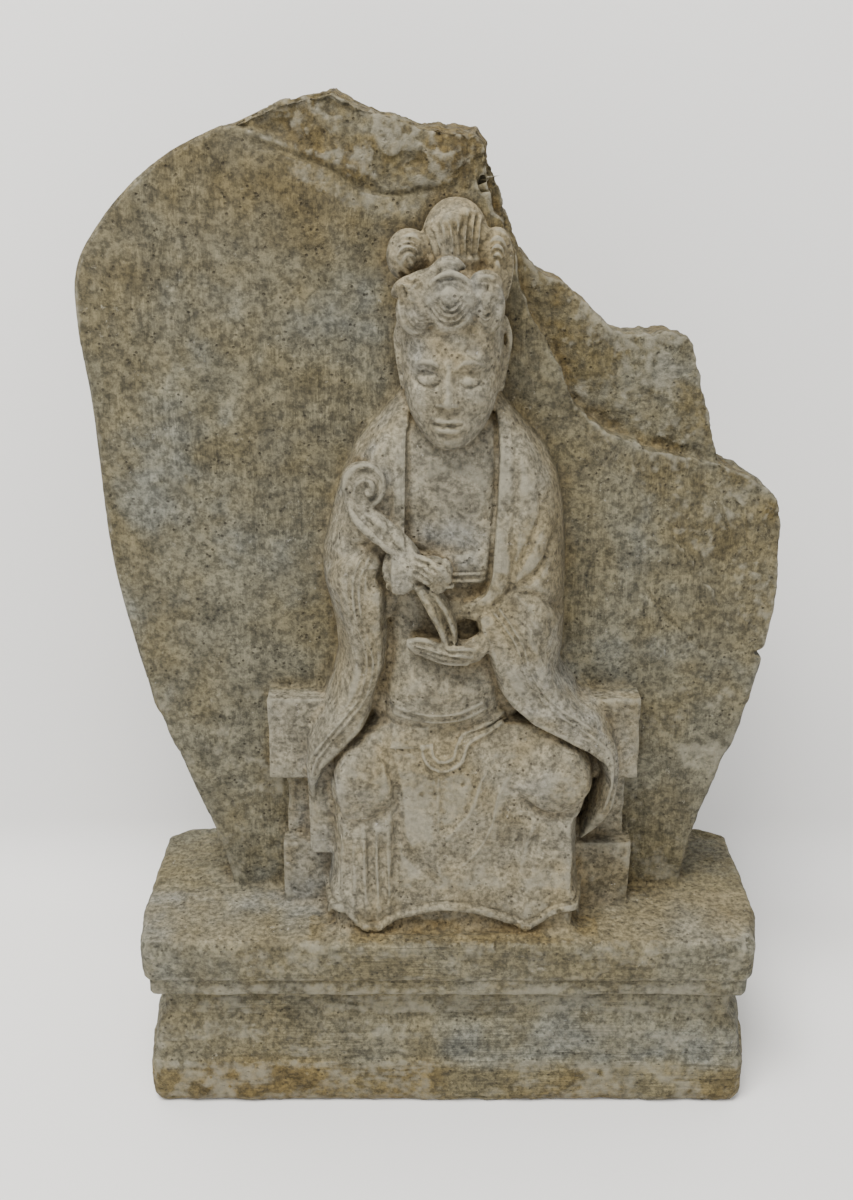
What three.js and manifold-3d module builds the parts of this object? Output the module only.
// A stone votive carving, cut from one block: a seated figure in high relief, holding a curved sceptre, in
// front of a broken leaf-shaped back slab, on a moulded plinth. Millimetres, +Z up, the figure faces -Y.
// The origin is on the ground, under the middle of the block.
import * as THREE from "three";
import { mergeVertices } from "three/addons/utils/BufferGeometryUtils.js";
import Module from "manifold-3d";

const wasm = await Module();
wasm.setup();

// ---- Driving dimensions ----------------------------------------------------------------------------------
const PLINTH_LEFT = -106;
const PLINTH_RIGHT = 111.5;
const PLINTH_HALF_DEPTH = 39;
const PLINTH_TOP = 68;
const SLAB_HALF_WIDTH = 114;
const SLAB_TOP = 340;
const SLAB_FRONT = -2.5;
const SLAB_BACK = 27;
const SLAB_FOOT = PLINTH_TOP - 4;
const STONE = { color: 0x8f8878, roughness: 0.93, metalness: 0 };

// ---- Solids from meshes ----------------------------------------------------------------------------------

// A closed three.js geometry as a solid. A shell that was wound inside out is turned first.
function solid(geometry) {
  const bare = geometry.clone();
  bare.deleteAttribute("normal");
  bare.deleteAttribute("uv");
  const merged = mergeVertices(bare, 1e-4);
  const vertProperties = new Float32Array(merged.attributes.position.array);
  const triVerts = new Uint32Array(merged.index.array);
  const made = new wasm.Manifold(new wasm.Mesh({ numProp: 3, vertProperties, triVerts }));
  if (made.volume() > 0) return made;
  for (let i = 0; i < triVerts.length; i += 3) {
    [triVerts[i], triVerts[i + 1]] = [triVerts[i + 1], triVerts[i]];
  }
  return new wasm.Manifold(new wasm.Mesh({ numProp: 3, vertProperties, triVerts }));
}

const join = (solids) => solids.reduce((all, next) => all.add(next));

const joinShapes = (geometries) => join(geometries.map(solid));

// A solid's mesh as a three.js geometry.
function geometryOf(made) {
  const mesh = made.getMesh();
  const positions = new Float32Array(mesh.numVert * 3);
  for (let i = 0; i < mesh.numVert; i++) {
    positions.set(mesh.vertProperties.subarray(i * mesh.numProp, i * mesh.numProp + 3), i * 3);
  }
  const geometry = new THREE.BufferGeometry();
  geometry.setAttribute("position", new THREE.BufferAttribute(positions, 3));
  geometry.setIndex(new THREE.BufferAttribute(new Uint32Array(mesh.triVerts), 1));
  geometry.computeVertexNormals();
  return geometry;
}

// ---- Shapes ----------------------------------------------------------------------------------------------

// A skin over rings that hold the same number of points, closed by a fan at each end.
function loft(rings) {
  const sides = rings[0].length;
  const points = rings.flat();
  const faces = [];
  for (let r = 0; r + 1 < rings.length; r++) {
    for (let i = 0; i < sides; i++) {
      const a = r * sides + i;
      const b = r * sides + ((i + 1) % sides);
      faces.push(a, b, b + sides, a, b + sides, a + sides);
    }
  }
  const middle = (ring) => ring.reduce((sum, p) => sum.add(p), new THREE.Vector3()).divideScalar(sides);
  const first = points.push(middle(rings[0])) - 1;
  const last = points.push(middle(rings.at(-1))) - 1;
  const top = (rings.length - 1) * sides;
  for (let i = 0; i < sides; i++) {
    const j = (i + 1) % sides;
    faces.push(first, j, i, last, top + i, top + j);
  }
  const geometry = new THREE.BufferGeometry().setFromPoints(points);
  geometry.setIndex(faces);
  return geometry;
}

// Values between the entries of a list, on a smooth curve through them. t runs from 0 to 1.
function along(list, t) {
  const curve = new THREE.SplineCurve(list.map((value, i) => new THREE.Vector2(i, value)));
  return curve.getPoint(t).y;
}

const bulge = (value, power) => Math.sign(value) * Math.abs(value) ** power;

const TOWARDS_VIEWER = new THREE.Vector3(0, -1, 0);

// The angles round a section. A section that lies against the slab keeps most of its points in front.
function sectionAngles(sides, backed) {
  const turn = 2 * Math.PI;
  if (!backed) return Array.from({ length: sides }, (_, i) => (turn * i) / sides);
  const front = sides - 3;
  const angles = Array.from({ length: front + 1 }, (_, i) => (Math.PI * i) / front);
  return [...angles, turn * 0.62, turn * 0.88];
}

// A tube whose width and depth change along a smooth line. Each station is [x, y, z, half width, half depth]:
// width is measured across the line as the viewer sees it, and depth towards the viewer. Roundness under 1
// makes the section boxier. Folds are ridges along the tube that deepen from its start to its end.
function sweep(stations, { sides = 8, steps = 10, roundness = 1, backed = false, folds = 0 } = {}) {
  const line = new THREE.CatmullRomCurve3(stations.map(([x, y, z]) => new THREE.Vector3(x, y, z)));
  const widths = stations.map((s) => s[3]);
  const depths = stations.map((s) => s[4]);
  const angles = sectionAngles(sides, backed);
  const rings = [];
  for (let k = 0; k <= steps; k++) {
    const t = k / steps;
    const centre = line.getPoint(t);
    const tangent = line.getTangent(t);
    const across = new THREE.Vector3().crossVectors(tangent, TOWARDS_VIEWER).normalize();
    const out = new THREE.Vector3().crossVectors(across, tangent).normalize();
    const wide = Math.max(along(widths, t), 0.3);
    const deep = Math.max(along(depths, t), 0.3);
    const foldDepth = folds * THREE.MathUtils.smoothstep(t, 0.3, 0.6);
    rings.push(
      angles.map((angle) => {
        const w = wide * bulge(Math.cos(angle), roundness);
        const d = deep * bulge(Math.sin(angle), roundness) + foldDepth * Math.sin(angle) * Math.cos(8 * angle);
        return centre.clone().addScaledVector(across, w).addScaledVector(out, d);
      })
    );
  }
  return loft(rings);
}

// A tube of even thickness.
function tube(points, radius, steps = 6, sides = 4) {
  return sweep(points.map(([x, y, z]) => [x, y, z, radius, radius]), { sides, steps });
}

// An egg-shaped lump.
function lump([x, y, z], [rx, ry, rz], around = 12, rows = 7) {
  const geometry = new THREE.SphereGeometry(1, around, rows);
  geometry.rotateX(Math.PI / 2);
  geometry.scale(rx, ry, rz);
  geometry.translate(x, y, z);
  return geometry;
}

// A block between two corners.
function block([x0, y0, z0], [x1, y1, z1]) {
  const geometry = new THREE.BoxGeometry(x1 - x0, y1 - y0, z1 - z0);
  geometry.translate((x0 + x1) / 2, (y0 + y1) / 2, (z0 + z1) / 2);
  return geometry;
}

// A plate with an outline in X and Z. front and back give the Y of its two faces at a point of the outline.
function plate(outline, front, back) {
  const shape = new THREE.Shape(outline);
  const geometry = new THREE.ExtrudeGeometry(shape, { depth: 1, bevelEnabled: false, steps: 1 });
  const position = geometry.attributes.position;
  for (let i = 0; i < position.count; i++) {
    const [x, z, far] = [position.getX(i), position.getY(i), position.getZ(i) > 0.5];
    position.setXYZ(i, x, far ? back(x, z) : front(x, z), z);
  }
  return geometry;
}

// ---- Plinth ----------------------------------------------------------------------------------------------

// A rectangle with worn corners, seen from above. The sides draw in towards the front, the right one more.
function plinthRing(z, inset, cut) {
  const [left, right] = [PLINTH_LEFT + inset, PLINTH_RIGHT - inset];
  const [front, back] = [inset - PLINTH_HALF_DEPTH, PLINTH_HALF_DEPTH - inset];
  const corners = [
    [left, front + 20],
    [left + 2.5, front + cut],
    [left + 2.5 + cut, front],
    [right - 4 - cut, front],
    [right - 4, front + cut],
    [right, front + 20],
    [right, back - cut - 3],
    [right - cut - 6, back],
    [left + cut + 4, back],
    [left, back - cut - 3],
  ];
  return corners.map(([x, y]) => new THREE.Vector3(x, y, z));
}

// Tiers from the ground up: a base slab, a small step, a swelling, a neck, a thin fillet and a thick top slab.
function plinth() {
  const profile = [
    [0, 2.6, 3],
    [3, 0.6, 2],
    [16, 0.6, 2],
    [18.5, 2.4, 1.5],
    [28, 3, 1.5],
    [33, 5, 1.5],
    [45.5, 6, 1.5],
    [45.5, 2, 1.5],
    [52, 1.8, 1.5],
    [52, 0.6, 2],
    [65.5, 0, 2.5],
    [PLINTH_TOP, 2, 3],
  ];
  return solid(loft(profile.map(([z, inset, cut]) => plinthRing(z, inset, cut))));
}

// ---- Back slab -------------------------------------------------------------------------------------------

// The outline runs from the left foot up the rounded side to the peak, down the broken side to the widest
// point on the right, and in along the lower right side. The two sides are smooth curves.
function slabOutline() {
  const w = SLAB_HALF_WIDTH;
  const roundedSide = [
    [-75, SLAB_FOOT],
    [-82, 93],
    [-98, 137],
    [-109, 190],
    [-111.5, 243],
    [-w, 281],
    [-105, 301],
    [-84, 320.5],
    [-56, 333.5],
  ];
  const brokenSide = [
    [-33, SLAB_TOP],
    [-24, 335],
    [-5.5, 329.5],
    [10, 328],
    [16, 314.5],
    [22, 297],
    [25.5, 290.5],
    [33, 284.3],
    [40, 281],
    [54, 267.4],
    [73, 267],
    [81, 260.8],
    [88.3, 236],
    [93, 223],
    [102, 220],
  ];
  const lowerRight = [
    [112, 212],
    [w, 201],
    [110, 159.5],
    [98, 115],
    [87, SLAB_FOOT],
  ];
  const within = (p) => p.setX(THREE.MathUtils.clamp(p.x, -w, w));
  const smooth = (points, count) =>
    new THREE.SplineCurve(points.map(([x, z]) => new THREE.Vector2(x, z))).getPoints(count).map(within);
  const straight = brokenSide.map(([x, z]) => new THREE.Vector2(x, z));
  return [...smooth(roundedSide, 20), ...straight, ...smooth(lowerRight, 8)].reverse();
}

// The old face has split off the upper right of the slab. One hollow is deep and nearly level, and below it a
// second slopes up to the old face again.
function brokenFace() {
  const breakTop = new THREE.Vector2(41.8, 245.8);
  const breakFoot = new THREE.Vector2(113, 150);
  const level = 8;
  const slope = 0.27;
  const run = breakFoot.clone().sub(breakTop).normalize();
  const beyond = (x, z) => (x - breakTop.x) * -run.y + (z - breakTop.y) * run.x;
  const points = (list) => list.map(([x, z]) => new THREE.Vector2(x, z));
  const deepOutline = points([
    [14.5, 312],
    [21, 296],
    [25, 282],
    [36.5, 258],
    [breakTop.x, breakTop.y],
    [64, 231.5],
    [91, 225.5],
    [130, 226],
    [130, 330],
    [14.5, 330],
  ]);
  const slopeOutline = points([
    [breakTop.x, breakTop.y],
    [breakFoot.x, breakFoot.y],
    [140, 150],
    [140, 245],
  ]);
  const inFront = () => -60;
  const deep = plate(deepOutline, inFront, () => level);
  const sloped = plate(slopeOutline, inFront, (x, z) => SLAB_FRONT + slope * beyond(x, z));
  return joinShapes([deep, sloped]);
}

function backSlab() {
  const outline = slabOutline();
  const middle = new THREE.Vector2(0, 190);
  const pull = (p, amount) => p.clone().add(middle.clone().sub(p).normalize().multiplyScalar(amount));
  const ring = (y, inset) =>
    outline.map((p) => {
      const q = p.y <= SLAB_FOOT + 1 ? p : pull(p, inset);
      return new THREE.Vector3(q.x, y, q.y);
    });
  const rounding = 1.6;
  const rings = [
    ring(SLAB_FRONT, rounding),
    ring(SLAB_FRONT + rounding, 0),
    ring(SLAB_BACK - 3, 0),
    ring(SLAB_BACK, 3),
  ];
  return solid(loft(rings)).subtract(brokenFace());
}

// ---- Seat ------------------------------------------------------------------------------------------------

// A bench behind the legs: a wide seat board, a narrower waist and a foot board.
function seat() {
  const buried = 4;
  const front = -13.8;
  const boards = [
    block([-59, front, 118.5], [67, buried, 148]),
    block([-54, front + 6, PLINTH_TOP - 2], [64, buried, 120]),
    block([-55.5, front, PLINTH_TOP - 2], [66.5, buried, 92.5]),
  ];
  return joinShapes(boards);
}

// ---- Robed legs ------------------------------------------------------------------------------------------

const SKIRT = { left: -41, right: 48, top: 142 };

// Upright folds over the two shins, as a push towards the viewer at x.
function shinFolds(x) {
  const leftShin = Math.exp(-(((x + 28.5) / 11) ** 4));
  const rightShin = Math.exp(-(((x - 37) / 12) ** 4));
  const leftPleat = 1.1 * Math.cos((x + 29.5) * 0.95);
  const rightPleat = 0.9 * Math.cos((x - 36) * 0.85);
  return leftShin * (2.6 + leftPleat) + rightShin * (2.6 + rightPleat);
}

// The hem dips under each foot and rises between them.
function hemHeight(x) {
  const dip = (middle, spread) => Math.exp(-(((x - middle) / spread) ** 2));
  return 75.5 - 7 * dip(-25, 8) - 7 * dip(30, 7) - 2 * dip(-41, 5) + 1.5 * dip(41, 4);
}

// The Y of the skirt's front. It leans back over the lap, and turns in at its two sides.
function skirtFront(x, z) {
  const t = (x - SKIRT.left) / (SKIRT.right - SKIRT.left);
  const edge = Math.sqrt(Math.max(1 - Math.abs(2 * t - 1) ** 6, 0));
  const lean = 10 * Math.max((z - 124) / (SKIRT.top - 124), 0) ** 2;
  return -edge * (29.6 - lean + shinFolds(x));
}

function skirt() {
  const across = 20;
  const levels = [0, 0.04, 0.25, 0.5, 0.72, 0.88, 1];
  const hemLip = 1.3;
  const buried = 6;
  const rings = levels.map((level, k) => {
    const ring = [];
    for (let i = 0; i <= across; i++) {
      const x = SKIRT.left + ((SKIRT.right - SKIRT.left) * i) / across;
      const hem = hemHeight(x);
      const z = hem + (SKIRT.top - hem) * level;
      ring.push(new THREE.Vector3(x, Math.min(skirtFront(x, z) - (k < 2 ? hemLip : 0), 0), z));
    }
    ring.push(new THREE.Vector3(SKIRT.right, buried, ring.at(-1).z));
    ring.push(new THREE.Vector3(SKIRT.left, buried, ring[0].z));
    return ring;
  });
  const under = rings[0].map((p) => new THREE.Vector3(p.x, Math.min(p.y + 3, buried), PLINTH_TOP - 3));
  return loft([under, ...rings]);
}

// Edges of cloth that run down from the lap between the shins.
function lapFolds() {
  const lines = [
    [[20, 139], [14, 129], [10.4, 119], [1.6, 103]],
    [[30, 138], [23, 131], [18, 118], [15.8, 104.5], [5.5, 94]],
    [[-17.5, 131], [-15, 117], [-12.6, 103], [-4.8, 89.7]],
  ];
  return lines.map((line) => tube(line.map(([x, z]) => [x, skirtFront(x, z) + 0.4, z]), 1.3, 5));
}

// The knees under the cloth, the lap between them, and the rough ledge left under the hem.
function legs() {
  return joinShapes([
    skirt(),
    ...lapFolds(),
    lump([-28, -19, 124], [12, 16, 14], 12, 7),
    lump([37, -19, 124.5], [15, 16, 15], 12, 7),
    lump([3, -21, PLINTH_TOP - 1], [45, 14.5, 3.6], 14, 3),
    block([-45.5, -20, 92.5], [-37, 0, 130]),
  ]);
}

// ---- Body ------------------------------------------------------------------------------------------------

// The bare chest, waist and neck, as an upright trunk.
function trunk() {
  const levels = [
    // height, middle, half width, front
    [128, 1, 24, -21],
    [146, 0.5, 21, -25],
    [158, 0, 19, -27.5],
    [170, 0.5, 18, -24.5],
    [190, 1.5, 21, -22],
    [216, 2, 21, -21.5],
    [234, 2, 20, -19],
    [244, 2, 16, -15.5],
    [250, 2, 10, -12],
  ];
  const sides = 14;
  const rings = levels.map(([z, middle, half, front]) => {
    const ring = [];
    for (let i = 0; i < sides; i++) {
      const angle = (2 * Math.PI * i) / sides;
      const x = middle + half * bulge(Math.cos(angle), 0.8);
      const y = Math.sin(angle) < 0 ? -front * bulge(Math.sin(angle), 0.7) : 4 * Math.sin(angle);
      ring.push(new THREE.Vector3(x, y, z));
    }
    return ring;
  });
  const neck = sweep(
    [
      [1.5, -12, 234, 8.5, 7.5],
      [1.5, -13.5, 246, 7.5, 7],
      [1.5, -15, 256, 7.5, 7],
    ],
    { steps: 2 }
  );
  return joinShapes([loft(rings), neck]);
}

// Flat bands: the robe's two collars, three belts under the chest, and the sash with its knotted ribbon.
function bands() {
  const flat = (points, wide, deep, steps) =>
    sweep(points.map(([x, y, z]) => [x, y, z, wide, deep]), { sides: 5, steps, roundness: 0.8 });
  const leftCollar = [
    [-10, -12, 251.5],
    [-13, -19, 243],
    [-13.7, -22.6, 228],
    [-14, -23.8, 205],
  ];
  const rightCollar = [
    [12.5, -12, 251.5],
    [17.6, -18.5, 244],
    [19.3, -22, 232],
    [18.5, -23.8, 212],
    [17.6, -24.6, 196],
    [13, -25.6, 186.8],
    [4, -25.6, 183],
  ];
  const belts = [202.2, 197.4, 192.8].map((z) => [
    [-8, -21, z],
    [4, -23, z],
    [15, -22, z],
  ]);
  const sash = [
    [-17, -23, 153],
    [-10, -26.8, 149.5],
    [-2, -28.3, 147.6],
    [7, -27.2, 149.6],
    [14.5, -23, 154],
  ];
  const ribbon = [
    [21, 147],
    [13.5, 143.6],
    [6, 140],
    [8.6, 135.6],
    [3.4, 130.6],
    [-2.6, 129.8],
    [-6.8, 133.6],
    [-5, 137.6],
    [-18, 138],
  ].map(([x, z]) => [x, Math.min(skirtFront(x, z), -24) - 0.4, z]);
  return joinShapes([
    flat(leftCollar, 3, 1.6, 5),
    flat(rightCollar, 3, 1.6, 9),
    ...belts.map((points) => flat(points, 1.6, 1.5, 2)),
    flat(sash, 1.5, 1.7, 6),
    flat(ribbon, 1.3, 1.6, 16),
  ]);
}

// ---- Arms, sleeves and hands -----------------------------------------------------------------------------

// The robe covers the shoulders and upper arms, and its wide sleeves fall from the forearms over the knees.
function sleeves() {
  const leftSleeve = [
    [-11.5, -9, 250.5, 2.6, 4],
    [-14.5, -11, 245.5, 4.6, 7],
    [-18.5, -12, 238, 7.8, 9],
    [-21.5, -12.5, 230, 10.2, 10.5],
    [-23.2, -13, 217, 11.8, 11.5],
    [-25, -13.5, 201, 13.6, 12.5],
    [-28.2, -14.5, 188, 11.2, 12.8],
    [-26, -16, 175, 10.2, 11.4],
    [-25.8, -17, 163, 9.4, 10.4],
    [-29.5, -18, 151.5, 8.2, 9.6],
    [-36.5, -18.5, 140, 6.8, 9],
    [-42, -18, 130, 4.8, 8.6],
    [-44.2, -16, 119, 2.4, 6.6],
  ];
  const rightSleeve = [
    [14, -9, 250.5, 2.6, 4],
    [18.5, -11, 245.5, 4.8, 7],
    [23, -12, 238, 7.8, 9],
    [26, -12.5, 230, 10, 10.5],
    [27.6, -13, 217, 12.2, 11.5],
    [27.8, -13.5, 201, 13.2, 12.5],
    [25.6, -14.5, 188, 15.6, 12.8],
    [26.6, -16, 175, 14.6, 11.6],
    [28, -17, 163, 13.2, 10.8],
    [32.4, -18.5, 152.5, 11, 10.2],
    [41, -19.5, 145, 8.4, 9.8],
    [50, -19.5, 139.5, 7.2, 9.6],
    [56, -18.5, 131, 5.8, 9.4],
    [58, -17, 121, 4.4, 9],
    [56.6, -16, 109.5, 4, 8],
    [51, -15, 97.5, 2, 5.6],
  ];
  const leftForearm = [
    [-36, -14, 192, 3.5, 4],
    [-31, -21, 195, 6.5, 6],
    [-25, -25.5, 197, 7, 5.6],
    [-19.5, -27.5, 198, 6.6, 4.4],
  ];
  const rightForearm = [
    [38, -14, 183, 4, 4],
    [31, -21.5, 184, 7.5, 6.5],
    [22, -26, 181.5, 8.8, 6],
    [13.5, -28, 177, 7.8, 4.6],
  ];
  // Turned edges of cloth round the mouth of each sleeve, and one long fold on the right sleeve.
  const edges = [
    [[-19, -28, 205], [-26, -28.2, 203], [-29, -27.6, 192], [-25.7, -27.8, 179], [-23, -27.4, 167], [-26, -27.6, 157],
      [-33.5, -27.4, 147], [-40.5, -26, 136]],
    [[9, -29.5, 186], [12, -30.4, 180], [14, -29.8, 173], [15.6, -27.6, 165], [19, -27.4, 157.5], [27, -28.4, 149],
      [38, -29.2, 142.5], [48, -28.6, 137.5], [53.5, -26, 127]],
    [[17, -30.6, 187.5], [21.5, -29.4, 177], [25, -28.2, 166], [31, -28.6, 156], [41, -29.4, 148.5], [52, -28.4, 142]],
  ];
  const fall = { sides: 15, steps: 12, roundness: 0.8, backed: true, folds: 1.9 };
  return joinShapes([
    sweep(leftSleeve, fall),
    sweep(rightSleeve, { ...fall, steps: 15 }),
    sweep(leftForearm, { steps: 4 }),
    sweep(rightForearm, { steps: 4 }),
    ...edges.map((line) => tube(line, 1.2, 7)),
  ]);
}

// Four fingers side by side. Each runs from its knuckle over a bend to its tip, and the next one starts a
// step further on.
function fingers(knuckle, bend, tip, step, radius) {
  const finger = (i) => tube([knuckle, bend, tip].map((p) => p.map((value, axis) => value + step[axis] * i)), radius, 3);
  return [0, 1, 2, 3].map(finger);
}

// The upper hand closes over the sceptre from above, and the lower hand lies under its foot, palm up.
function hands() {
  return joinShapes([
    lump([-12, -29.5, 199.5], [6.6, 4.4, 6], 10, 6),
    ...fingers([-8.4, -31.6, 205.6], [-2, -35, 203.6], [0.8, -32.6, 198], [-0.9, 0, -2.7], 1.6),
    lump([6.5, -27.5, 171.2], [7.5, 4.6, 3.8], 10, 6),
    ...fingers([4, -31.5, 170.6], [-4, -32, 171.6], [-10.2, -31, 175.4], [-0.1, 1.9, 0.9], 1.5),
  ]);
}

// The sceptre: a coiled cloud head on the shoulder, and a stem of two ribs that passes through the upper hand.
function sceptre() {
  const rib = (shift) =>
    [
      [-29, -25, 220.5],
      [-21, -28.5, 213],
      [-13, -31.5, 206],
      [-5.5, -33, 192],
      [-0.5, -32.5, 182],
      [2.6, -31.5, 175],
    ].map(([x, y, z], k) => [x + shift * (1.1 + 0.22 * k), y, z + shift * 0.9]);
  const turns = 1.6;
  const coil = [];
  for (let k = 0; k <= 12; k++) {
    const t = k / 12;
    const angle = Math.PI * 1.3 - turns * 2 * Math.PI * t;
    const radius = 5.6 * (1 - 0.8 * t);
    coil.push([-24.3 + radius * Math.cos(angle), -25.4 - 2 * t, 225.6 + radius * Math.sin(angle)]);
  }
  return joinShapes([
    tube(rib(-1), 1.6, 8),
    tube(rib(1), 1.6, 8),
    lump([-24.3, -22.5, 225.6], [6.2, 4, 6.2], 10, 5),
    tube(coil, 1.4, 13),
  ]);
}

// ---- Head ------------------------------------------------------------------------------------------------

// The head's own axes have x = 0 in the middle of the face. The face is laid out by thirds between hairline
// and chin, with the eyes one eye's width apart.
const HEAD = { x: 2.6, axis: -14, turn: -5, chin: 237.5, hairline: 276.5, halfWidth: 16, front: -31 };
const THIRD = (HEAD.hairline - HEAD.chin) / 3;
const SIDES = [-1, 1];

// The skull from under the chin to the crown, flat at the back where it joins the slab.
function skull() {
  const { chin, halfWidth, front, axis } = HEAD;
  const levels = [
    // height over the chin, share of the half width, how far the front lies back
    [-0.5, 0.15, 5],
    [1, 0.45, 1.8],
    [5, 0.7, 0.2],
    [10, 0.84, 0.6],
    [17, 0.95, 0.3],
    [25, 1, 0.2],
    [32, 0.99, 1],
    [39, 0.97, 1.8],
    [46, 0.9, 3.5],
    [52, 0.66, 7],
    [55, 0.35, 11],
  ];
  const around = 14;
  const rings = levels.map(([height, share, back]) => {
    const ring = [];
    for (let i = 0; i < around; i++) {
      const angle = (2 * Math.PI * i) / around;
      const reach = Math.sin(angle) > 0 ? axis - front - back : 11;
      const x = halfWidth * share * bulge(Math.cos(angle), 0.85);
      ring.push(new THREE.Vector3(x, axis - reach * bulge(Math.sin(angle), 0.9), chin + height));
    }
    return ring;
  });
  return loft(rings);
}

function face() {
  const { chin, halfWidth, front } = HEAD;
  const brow = chin + 2 * THIRD;
  const noseFoot = chin + THIRD;
  const mouth = noseFoot - THIRD * 0.36;
  const eye = brow - THIRD * 0.32;
  const eyeWidth = (2 * halfWidth) / 5;
  const nose = [
    [0, front + 1.4, brow, 1.4, 1.2],
    [0, front - 0.4, (brow + noseFoot) / 2 + 1, 1.7, 1.6],
    [0, front - 1.6, noseFoot + 1.6, 2.6, 2],
    [0, front + 1, noseFoot, 1.8, 1],
  ];
  return [
    skull(),
    sweep(nose, { sides: 6, steps: 4 }),
    ...SIDES.map((s) => lump([s * eyeWidth, front + 2.2, eye], [eyeWidth / 2, 2, 2], 8, 5)),
    lump([0, front + 0.4, mouth + 0.8], [3.7, 1.5, 1], 8, 4),
    lump([0, front + 0.6, mouth - 1], [3, 1.6, 1.1], 8, 4),
  ];
}

// Long ears with heavy lobes, lying back against the hair.
function ears() {
  const ear = (side) => [
    [side * 15.2, -12, 275.5, 1.6, 2],
    [side * 17.4, -12.5, 269, 2.6, 3],
    [side * 16.2, -13.5, 261, 1.8, 2.6],
    [side * 14.6, -14, 252, 2, 2.4],
  ];
  return SIDES.map((side) => sweep(ear(side), { sides: 6, steps: 4 }));
}

// Hair over the brow hangs in three scallops, each of nested arcs. The two outer ones hang lower.
function browHair() {
  const made = [];
  const brow = (x) => HEAD.front + 1 + 0.045 * x * x;
  const scallops = [
    [-9.6, 13.5],
    [-0.3, 11],
    [9.6, 13.5],
  ];
  for (const [middle, drop] of scallops) {
    for (const share of [0.5, 1]) {
      const arc = [-1, -0.6, -0.2, 0.2, 0.6, 1].map((t) => {
        const x = middle + Math.sin(1.5 * t) * 4.7 * share;
        return [x, brow(x), 286 - Math.cos(1.5 * t) * drop * share];
      });
      made.push(tube(arc, 1.9, 6));
    }
  }
  return made;
}

// A ribbon crown: it arches over a small round jewel in the middle, and ends in a lobe on each side.
function crown() {
  const arch = [];
  for (let k = 0; k <= 6; k++) {
    const angle = (Math.PI * k) / 6;
    arch.push([5.3 * Math.cos(angle), -28.8, 286.3 + 5 * Math.sin(angle)]);
  }
  const wing = (side) => [
    [side * 5.2, -27.7, 286.7, 1.6, 2.4],
    [side * 9.5, -26, 290, 2.4, 2.8],
    [side * 13, -22.6, 287.4, 2.4, 2.8],
    [side * 15.6, -18, 284.6, 1.6, 2.2],
  ];
  return [
    tube(arch, 1.6, 6, 5),
    lump([0, -26.5, 286.4], [3.8, 3.8, 3.8], 8, 5),
    lump([-0.6, -25, 292.6], [3.2, 3.4, 2.4], 8, 4),
    ...SIDES.map((side) => sweep(wing(side), { sides: 6, steps: 4 })),
  ];
}

// A coil of hair beside the topknot: a dish whose face rises in a spiral ridge.
function sideCoil(x, z, wide, tall, side) {
  const around = 14;
  const ridge = 1.4;
  const shares = [1, 1, 0.8, 0.6, 0.4, 0.2];
  const rings = shares.map((share, k) => {
    const ring = [];
    for (let i = 0; i < around; i++) {
      const angle = (2 * Math.PI * i) / around;
      const wave = Math.cos(2 * Math.PI * 1.25 * (1 - share) + side * angle);
      const y = k === 0 ? -4 : -19 - 2.6 * (1 - share) - ridge * wave;
      ring.push(new THREE.Vector3(x + wide * share * Math.cos(angle), y, z + tall * share * Math.sin(angle)));
    }
    return ring;
  });
  return loft(rings);
}

// The tall topknot: locks rise side by side from the crown, spread, and close in over the top.
function topknot() {
  const levels = [
    // height, half width, front
    [284, 7, -21],
    [290, 8.6, -22.5],
    [297, 10.6, -23.4],
    [302.5, 10.2, -22],
    [306.6, 8, -18.5],
    [309, 4.6, -14],
  ];
  const around = 18;
  const rings = levels.map(([z, half, front]) => {
    const ring = [];
    for (let i = 0; i < around; i++) {
      const angle = (2 * Math.PI * i) / around;
      const lock = 1 + (i % 2 ? -0.09 : 0.06) * (Math.sin(angle) > 0 ? 1 : 0);
      const y = Math.sin(angle) > 0 ? -8 + (front + 8) * Math.sin(angle) * lock : -8 - 4 * Math.sin(angle);
      ring.push(new THREE.Vector3(3.2 + half * Math.cos(angle) * lock, y, z));
    }
    return ring;
  });
  return loft(rings);
}

function head() {
  const turned = [...face(), ...ears(), ...browHair(), ...crown()];
  for (const shape of turned) {
    shape.translate(0, -HEAD.axis, 0);
    shape.rotateZ(THREE.MathUtils.degToRad(HEAD.turn));
    shape.translate(HEAD.x, HEAD.axis, 0);
  }
  return joinShapes([
    ...turned,
    topknot(),
    sideCoil(-10.2, 292.8, 7.4, 8.8, -1),
    sideCoil(15.4, 291.6, 6.2, 10.2, 1),
  ]);
}

// ---- The whole block -------------------------------------------------------------------------------------

const carving = join([
  plinth(),
  backSlab(),
  seat(),
  legs(),
  trunk(),
  bands(),
  sleeves(),
  hands(),
  sceptre(),
  head(),
]);

const statue = new THREE.Mesh(geometryOf(carving), new THREE.MeshStandardMaterial(STONE));
statue.name = "statue";

const group = new THREE.Group();
group.add(statue);

export default group;
